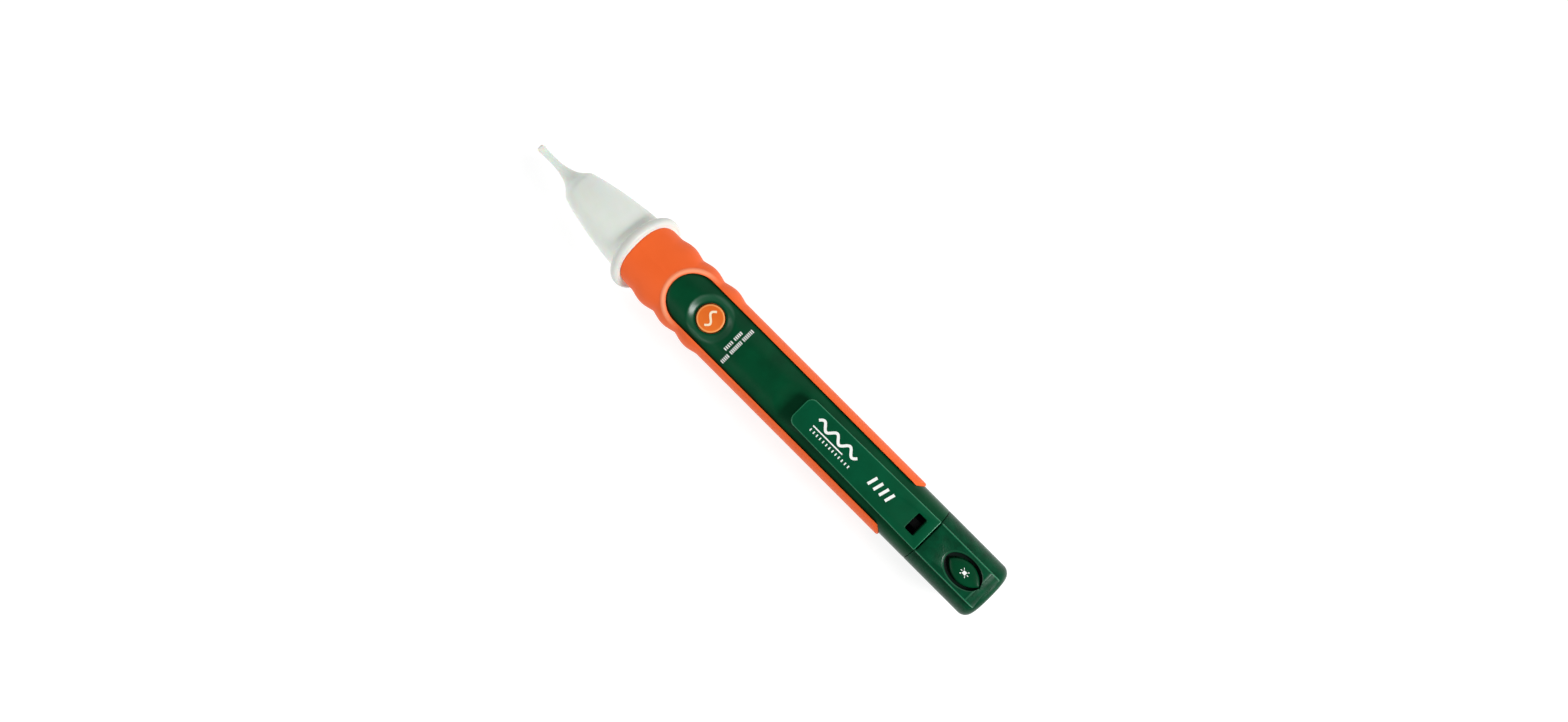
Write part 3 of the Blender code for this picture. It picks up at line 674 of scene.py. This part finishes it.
def grip_bed():
    """What the grip takes out of the body, with a seam all round."""
    bed = body_loft('bed', [(26.0, 12.0, 12.0), (150.5, 12.0, 12.0)], 64)
    boolean(bed, prism('bed_side', strip_outline(SEAM), -16, 16, True), 'INTERSECT')
    inner = (GRIP_BED[0] - SEAM, GRIP_BED[1] - SEAM)
    cut(bed, body_loft('bed_inside', [(24.0, *inner), (162.0, *inner)], 96),
        prism('bed_window', window_outline(SEAM), -16, 16))
    return bed


def body_top(y):
    """Height of the body's plain top at an offset."""
    return BODY[1] * (1 - (abs(y) / BODY[0]) ** SQUIRCLE) ** (1 / SQUIRCLE)


def dish_fall(station, y):
    """Fall to the dish's level floor around the button."""
    reach = math.hypot(station - BUTTON_STATION, y)
    full = max(body_top(y) - (BODY[1] - DISH_DEPTH), 0.0)
    share = min(max((DISH_RADIUS - reach) / (DISH_RADIUS - DISH_FLOOR), 0.0), 1.0)
    return full * (0.7 * share + 0.3 * ease(share))


def dish_wall_share(station, y):
    """One on the dish's wall, where a highlight is painted, none on its floor and outside it."""
    reach = math.hypot(station - BUTTON_STATION, y)
    return ease((DISH_RADIUS - reach) / 0.7) * ease((reach - DISH_FLOOR + 0.2) / 0.6)


def scoop_fall(station, y):
    """Depth of the finger scoop under the clip's free end."""
    along = (station - SCOOP_STATION) / SCOOP_HALF_LENGTH
    across = y / SCOOP_HALF_WIDTH
    return SCOOP_DEPTH * max(1 - along * along - across * across, 0.0) ** 1.2


def shell_push(station, y, z):
    """Fine shape of the body: rounded edges, the dish and the scoop."""
    out = rolled(-window_distance(station, y) - SEAM, 0.5, 0.3) if station < GRIP_END - 3 else 0.0
    out += rolled(BODY_END - station, 0.3, 0.25)
    if z > 0 and abs(y) < WINDOW_HALF:
        out -= dish_fall(station, y) + scoop_fall(station, y)
    return out


def shell_stations():
    """Stations of the body's rings, close together where the surface turns."""
    edge = [BODY_END - step for step in (0.3, 0.2, 0.12, 0.05, 0.0)]
    front = [34.0, 44.0, 50.0] + spread(51, 60, 0.6) + spread(60, 76, 0.32)
    return front + spread(76, 92, 1.6) + spread(92, 111, 0.6) + spread(111, BODY_END - 0.5, 1.5) + edge


def body_shell(name, bed):
    """Whole body, later halved: outside, neck for the cap, hollow and raked front."""
    rings = [skin_ring(s, BODY, shell_push) for s in shell_stations()]
    rings += [skin_ring(s, NECK, plain) for s in (BODY_END, NECK_END)]
    shell = stacked(name, rings)
    hollow = body_loft(f'{name}_hollow', [(30.0, *CAVITY), (BODY_END - 3.4, *CAVITY),
                                          (BODY_END - 0.9, *NECK_BORE), (165.0, *NECK_BORE)], 96)
    return cut(shell, bed, hollow, raked_block(f'{name}_front', GUARD_THICK / 2 + SEAM, False))


def upper_housing(bed):
    shell = body_shell('upper', bed)
    cut(shell, box('below', (BEFORE, BEHIND), (-ASIDE, ASIDE), (-ASIDE, SEAM / 2)),
        upright('button_hole', BUTTON_STATION, BUTTON_HOLE, 2, ABOVE),
        upright('button_pocket', BUTTON_STATION, *BUTTON_POCKET))
    first, last, half = CLIP_WINDOW
    channel = LATCH_HALF + SLOT_PLAY
    cut(shell, box('clip_hole', (first, last), (-half, half), (0, ABOVE)),
        box('latch_channel', (last - 0.5, BEHIND), (-channel, channel), (LATCH_FLOOR, ABOVE)))
    front, rear, inner, outer = CLIP_FEET
    for side in (-1, 1):
        sides = sorted((side * (inner - SLOT_PLAY), side * (outer + SLOT_PLAY)))
        cut(shell, box(f'clip_slot_{side}', (front - FOOT_SWING, rear + FOOT_SWING), sides,
                       (SLOT_FLOOR, ABOVE)))
    piece = settle(shell, 'upper_housing', 'housing', MATERIALS['green_dished'])
    # The dish wall's share places a painted highlight and a clear coat.
    mark_points(piece, 'dish_wall', dish_wall_share)


def lower_housing(bed):
    shell = body_shell('lower', bed)
    first, last, half, depth = LABEL_FLAT
    cut(shell, box('above', (BEFORE, BEHIND), (-ASIDE, ASIDE), (-SEAM / 2, ASIDE)),
        box('label_flat', (first, last), (-half, half), (-ABOVE, -depth)))
    settle(shell, 'lower_housing', 'housing', MATERIALS['green'])


# Clip, buttons and cap

def clip_outline():
    """Plan of the clip: slightly wider at its root, corners rounded at the free end."""
    corner = 2.2
    front = arc((CLIP_FRONT + corner, -CLIP_FRONT_HALF + corner), corner, 270, 180, 12)
    back = arc((CLIP_FRONT + corner, CLIP_FRONT_HALF - corner), corner, 180, 90, 12)
    return front + back + [(CLIP_REAR, CLIP_REAR_HALF), (CLIP_REAR, -CLIP_REAR_HALF)]


def window_block(name):
    """Cutter for the clip's window, its corners rounded."""
    first, last, half = CLIP_WINDOW
    return bevel(box(name, (first, last), (-half, half), (5, 15)), 0.4, 3, 80)


def on_clip_rim(centre, normal):
    """Test for the clip's rounded outer rim, away from its window, where a highlight is painted."""
    first, last, half = CLIP_WINDOW
    near_window = first - 0.6 < centre.x < last + 0.6 and abs(centre.y) < half + 0.6
    rounded = CLIP_TOP - CLIP_RIM < centre.z < CLIP_TOP - 0.005 and 0.1 < normal.z < 0.985
    return rounded and not near_window


def pocket_clip():
    under = CLIP_TOP - CLIP_THICK
    clip = prism('clip', clip_outline(), under, CLIP_TOP)
    bevel(cut(clip, window_block('clip_window')), CLIP_RIM)
    root = box('clip_root', (CLIP_ROOT, CLIP_REAR - 0.05),
               (-CLIP_REAR_HALF + 0.02, CLIP_REAR_HALF - 0.02), (7.0, CLIP_TOP - 0.8))
    seat = (BODY[0] + 0.3, BODY[1] + 0.3)
    cut(root, body_loft('root_seat', [(140, *seat), (160, *seat)]), window_block('root_window'))
    join(clip, root)
    front, rear, inner, outer = CLIP_FEET
    for side in (-1, 1):
        sides = sorted((side * inner, side * outer))
        join(clip, box(f'foot_{side}', (front, rear), sides, FOOT_LEVELS))
    first, last, half = CLIP_WINDOW
    cut(clip, box('latch_way', (first + 0.5, 160), (-half + 0.01, half - 0.01), (5, under)))
    piece = settle(clip, 'pocket_clip', 'clip', MATERIALS['green_clip'])
    # The clip's rounded rim gets a painted highlight.
    second_material(piece, MATERIALS['green_edge_highlight'], on_clip_rim)


def dome(name, outline_at, low, levels):
    """Upright plug with a rounded top: the outline at an inset for each (height, inset) level."""
    rings = [[(u, v, height) for u, v in outline_at(inset)] for height, inset in [(low, 0.0)] + levels]
    return stacked(name, rings)


def range_button():
    top = frame_box('range_button')[1].z
    turns = [math.radians(degrees) for degrees in range(0, 91, 15)]
    levels = [(top - BUTTON_EDGE * (1 - math.sin(t)), BUTTON_EDGE * (1 - math.cos(t))) for t in turns]
    levels.append((top, 2 * BUTTON_EDGE))

    def outline(inset):
        return ellipse(BUTTON_STATION, (BUTTON_RADIUS - inset, BUTTON_RADIUS - inset))
    button = dome('range', outline, BUTTON_FOOT, levels)
    join(button, upright('range_rim', BUTTON_STATION, *BUTTON_RIM))
    piece = settle(button, 'range_button', 'range_key', MATERIALS['button'])

    def edge_share(station, y):
        """One on the button's rounded edge, where a highlight is painted."""
        inset = BUTTON_RADIUS - math.hypot(station - BUTTON_STATION, y)
        return 1.0 if 0.03 < inset < BUTTON_EDGE + 0.02 else 0.0
    # The edge share places a painted highlight on the button's rim.
    mark_points(piece, 'edge', edge_share)


def torch_button():
    top = frame_box('torch_button')[1].z
    falls = [(0.75, 0.0), (0.5, 0.08), (0.33, 0.25), (0.2, 0.55), (0.1, 1.0), (0.03, 1.6), (0.0, 2.3)]
    levels = [(top - fall, inset) for fall, inset in falls]

    def outline(inset):
        share = 1 - inset / TORCH_BUTTON[1]
        return pointed_oval(TORCH_STATION, TORCH_BUTTON[0] * (share * 0.7 + 0.3), TORCH_BUTTON[1] * share)
    button = dome('torch', outline, TORCH_FOOT, levels)
    rim = pointed_oval(TORCH_STATION, TORCH_BUTTON[0] + 0.75, TORCH_BUTTON[1] + 0.9)
    join(button, prism('torch_rim', rim, *TORCH_RIM_LEVELS))
    settle(button, 'torch_button', 'torch_key', MATERIALS['green'])


def cap_stations():
    """The cap's outside: a small rounded front edge, straight, then rounded onto the tail face."""
    corner = 2.6
    rounding = [(LENGTH + u, v) for u, v in arc((-corner, -corner), corner, 90, 0, 12)]
    front = [(CAP_FRONT + u, v) for u, v in ((0.0, -0.25), (0.08, -0.1), (0.2, -0.02), (0.35, 0.0))]
    return [(s, BODY[0] + v, BODY[1] + v) for s, v in front + rounding]


def panel_outline():
    """Side view of the raised panel: level, then rolled down to the tail."""
    roll = arc((170.2, PANEL_TOP - 0.4 - PANEL_ROLL), PANEL_ROLL, 84, 10, 36)
    return [(CAP_FRONT, 5.0), (CAP_FRONT, PANEL_TOP)] + roll + [(175.0, 5.0)]


def torch_recess():
    """Oval bowl with a rounded rim, as a stack of growing ovals."""
    levels = [(RECESS_FLOOR, -0.8), (RECESS_FLOOR + 0.06, -0.65), (RECESS_FLOOR + 0.3, -0.52),
              (10.62, -0.5), (10.68, -0.46), (11.0, 0.04), (11.06, 0.16), (RECESS_RIM_TOP, 0.3),
              (11.14, 0.55), (13.0, 1.6)]
    rings = []
    for height, grow in levels:
        oval = ellipse(RECESS_STATION, (TORCH_RECESS[0] + grow, TORCH_RECESS[1] + grow))
        rings.append([(u, v, height) for u, v in oval])
    return stacked('torch_recess', rings)


def tail_cap():
    cap = stacked('cap', [skin_ring(s, (a, b), plain) for s, a, b in cap_stations()])
    join(cap, bevel(prism('cap_panel', panel_outline(), -PANEL_HALF, PANEL_HALF, True), PANEL_BEVEL))
    cut(cap, body_loft('cap_hollow', [(150.0, *CAP_HOLLOW), (CAP_HOLLOW_END, *CAP_HOLLOW)], 96),
        box('switch_bay', *SWITCH_BAY, (4.0, BAY_CEILING)), torch_recess())
    hole = pointed_oval(TORCH_STATION, TORCH_BUTTON[0] + 0.4, TORCH_BUTTON[1] + 0.25)
    cut(cap, prism('torch_hole', hole, 7, ABOVE),
        turned('lens_seat', [(170.0, 0.0), (170.0, 4.5), (180.0, 4.5), (180.0, 0.0)]))
    join(cap, box('latch_tongue', (CAP_FRONT - 3.1, CAP_FRONT + 2.3), (-LATCH_HALF, LATCH_HALF),
                  LATCH_LEVELS))
    piece = settle(cap, 'tail_cap', 'cap', MATERIALS['green_grain'])

    def on_edge(centre, normal):
        rim = PANEL_HALF - PANEL_BEVEL - 0.01 < abs(centre.y) < PANEL_HALF - 0.005
        return rim and centre.z > PANEL_FOOT and 0.1 < abs(normal.y) < 0.985

    def in_recess(centre, normal):
        along = (centre.x - RECESS_STATION) / (TORCH_RECESS[0] - 0.4)
        across = centre.y / (TORCH_RECESS[1] - 0.4)
        return PANEL_FOOT < centre.z < RECESS_WALL_TOP and math.hypot(along, across) < 1

    def on_cone(centre, normal):
        along = (centre.x - RECESS_STATION) / TORCH_RECESS[0]
        across = centre.y / TORCH_RECESS[1]
        near = math.hypot(along, across) < 1.1
        return near and RECESS_WALL_TOP < centre.z < RECESS_RIM_TOP and 0.5 < normal.z < 0.99
    # The recess's rim cone gets a painted highlight with real gloss.
    second_material(piece, MATERIALS['green_gloss_painted_highlight'], on_cone)
    # The panel's bevelled edges get a painted highlight.
    second_material(piece, MATERIALS['green_edge_highlight'], on_edge)
    # The recess's wall and floor get painted shade.
    second_material(piece, MATERIALS['green_painted_shade'], in_recess)


# Printed marks: plain bars, a wave and a lamp sign

def panel_height(station, y):
    """Height of the body's top at a point, with its dish and scoop."""
    return body_top(y) - dish_fall(station, y) - scoop_fall(station, y)


def printed(name, strokes, width, height_at, body, ink='ink'):
    """Thin ink strokes that follow a surface, each a line of (station, y) points."""
    mesh = bmesh.new()
    for line in strokes:
        rings = []
        for i, (u, v) in enumerate(line):
            before, after = line[max(i - 1, 0)], line[min(i + 1, len(line) - 1)]
            du, dv = after[0] - before[0], after[1] - before[1]
            size = math.hypot(du, dv)
            ou, ov = -dv / size * width / 2, du / size * width / 2
            corners = [(u + ou, v + ov), (u - ou, v - ov)]
            low = [mesh.verts.new(at(a, b, height_at(a, b) - INK)) for a, b in corners]
            high = [mesh.verts.new(at(a, b, height_at(a, b) + INK)) for a, b in reversed(corners)]
            rings.append(low + high)
        for first, second in zip(rings, rings[1:]):
            for i in range(4):
                j = (i + 1) % 4
                mesh.faces.new((first[i], first[j], second[j], second[i]))
        mesh.faces.new(rings[0])
        mesh.faces.new(rings[-1])
    item = finish_mesh(name, mesh)
    GUIDES.objects.unlink(item)
    bpy.context.scene.collection.objects.link(item)
    item.data.materials.append(MATERIALS[ink])
    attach(item, body)


def wave_line(centre, length, swing, across, waves=1.0, steps=24):
    """Sine line along the pen, or across it."""
    points = []
    for i in range(steps + 1):
        share = i / steps
        along, side = (share - 0.5) * length, swing * math.sin(2 * math.pi * waves * share)
        points.append((centre[0] + side, centre[1] + along) if across
                      else (centre[0] + along, centre[1] + side))
    return points


def ticks(start, end, count, place, height, across):
    """Row of short bars, each as tall as small print."""
    rows = []
    for i in range(count):
        spot = start + (end - start) * i / (count - 1)
        if across:
            rows.append([(place - height / 2, spot), (place + height / 2, spot)])
        else:
            rows.append([(spot, place - height / 2), (spot, place + height / 2)])
    return rows


def level(height):
    """A flat surface for printed marks."""
    return lambda station, y: height


def button_mark():
    """One plain wave across the button."""
    wave_points = wave_line((BUTTON_STATION, 0), 4.9, 1.0, True)
    printed('button_mark', [wave_points], 0.62, level(frame_box('range_button')[1].z), 'range_key',
            'cream_ink')


def panel_mark():
    """Two rows of ticks beside the dish, in groups as (start, end, count)."""
    rows = []
    for station, height, groups in ((76.4, 1.0, ((-3.1, -0.5, 5), (0.7, 3.1, 5))),
                                    (78.2, 1.1, ((-6.2, -3.9, 5), (-2.7, 1.2, 8), (2.2, 5.6, 7)))):
        for start, end, count in groups:
            rows += ticks(start, end, count, station, height, True)
    printed('panel_mark', rows, 0.3, panel_height, 'housing')


def clip_marks():
    """A wave over a bar and a row of ticks, then four slanted bars."""
    printed('clip_mark', [wave_line((115.6, 1.35), 14.8, 0.95, False, 3, 72)], 0.8, level(CLIP_TOP), 'clip')
    bars = [[(108.1, -0.8), (119.3, -0.8)]] + ticks(108.4, 122.8, 13, -2.05, 0.8, False)
    printed('clip_bars', bars, 0.36, level(CLIP_TOP), 'clip')
    slants = [[(station, -1.5), (station + 0.8, 1.5)] for station in (129.8, 132.0, 134.2, 136.4)]
    printed('clip_slants', slants, 0.85, level(CLIP_TOP), 'clip')


def torch_mark():
    """Lamp sign: a square with eight rays."""
    top = frame_box('torch_button')[1].z
    half, ray_start, ray_end, rays = 0.55, 0.9, 1.4, 8

    def crown(station, y):
        return top - 0.1 * max(abs(y) - half, 0)
    lines = []
    for i in range(rays):
        turn = 2 * math.pi / rays * i
        c, s = math.cos(turn), math.sin(turn)
        lines.append([(TORCH_STATION + ray_start * c, ray_start * s),
                      (TORCH_STATION + ray_end * c, ray_end * s)])
    printed('torch_rays', lines, 0.2, crown, 'torch_key')
    square = [(TORCH_STATION - half, 0), (TORCH_STATION + half, 0)]
    printed('torch_lamp', [square], 1.0, level(top), 'torch_key')


# Camera, floor and light

def stage():
    """White floor, even studio light and three soft lamps."""
    bpy.ops.mesh.primitive_plane_add(size=3.0, location=(0, 0, -0.0004))
    floor = bpy.context.object
    floor.name = 'floor'
    paper = moulded('pale_floor', srgb(150, 150, 150), srgb(156, 156, 156), 0.9, 2.0, 0.01)
    glow = paper.node_tree.nodes['Principled BSDF'].inputs
    glow['Emission Color'].default_value = (1.0, 1.0, 1.0, 1.0)
    glow['Emission Strength'].default_value = 0.8
    floor.data.materials.append(paper)
    world = bpy.data.worlds.new('studio')
    bpy.context.scene.world = world
    world.use_nodes = True
    backdrop = world.node_tree.nodes['Background'].inputs
    backdrop['Color'].default_value = (1.0, 1.0, 1.0, 1.0)
    backdrop['Strength'].default_value = 0.2
    for name, place, size, power in (('key', (0.66, 0.22, 0.5), 0.3, 6.5),
                                     ('back', (-0.1, 0.72, 0.5), 0.9, 1.6),
                                     ('fill', (-0.45, -0.6, 0.5), 0.8, 4.0)):
        light = bpy.data.lights.new(name, 'AREA')
        light.size = size
        light.energy = power
        lamp = bpy.data.objects.new(name, light)
        lamp.location = place
        lamp.rotation_euler = (-Vector(place)).to_track_quat('-Z', 'Y').to_euler()
        bpy.context.scene.collection.objects.link(lamp)
    bpy.context.scene.view_settings.view_transform = 'Standard'


def camera():
    """Straight above the buttons, turned so that the pen lies corner to corner."""
    height, roll = 0.58, math.radians(45.06)
    sensor, view_width = 36.0, 435.6       # both in millimetres, the second at the pen's height
    data = bpy.data.cameras.new('camera')
    data.sensor_width = sensor
    data.lens = sensor * height / MM / view_width
    data.clip_start = 0.01
    view = bpy.data.objects.new('camera', data)
    right, up = 0.00569, 0.00278           # where the view's centre lies from the pen's, in metres
    view.location = (right * math.cos(roll) - up * math.sin(roll),
                     right * math.sin(roll) + up * math.cos(roll), height + AXIS_Z * MM)
    view.rotation_euler = (0, 0, roll)
    bpy.context.scene.collection.objects.link(view)
    bpy.context.scene.camera = view


def dress_frame():
    """Materials of the CAD pieces that show as they are."""
    dressed = {
        'black': ('range_switch', 'range_switch_plunger', 'controller_chip', 'buzzer', 'battery_tray',
                  'torch_switch', 'torch_switch_plunger'),
        'steel': ('sensing_antenna', 'filter_capacitor', 'torch_spring'),
        'brass': ('front_contact', 'conductor_strip', 'torch_contact_leaf'),
        'board': ('main_board', 'torch_board'),
        'cell': ('battery_front', 'battery_rear'),
        'clear': ('torch_led', 'torch_lens'),
        'chrome': ('torch_reflector',),
        'red': ('indicator_led',),
    }
    for material, names in dressed.items():
        for name in names:
            item = frame['nodes'][name]
            item.data.materials.clear()
            item.data.materials.append(MATERIALS[material])
            item.data.shade_smooth()
            item.data.set_sharp_from_angle(angle=math.radians(35))

    def on_end(centre, normal):
        return abs(normal.x) > 0.9
    for name in dressed['cell']:
        second_material(frame['nodes'][name], MATERIALS['steel'], on_end)


MATERIALS = make_materials()
camera()
stage()
dress_frame()
probe_tip()
grip_sleeve()
bed_cutter = grip_bed()
upper_housing(bed_cutter)
lower_housing(bed_cutter)
pocket_clip()
range_button()
torch_button()
tail_cap()
button_mark()
panel_mark()
clip_marks()
torch_mark()
clear_guides()
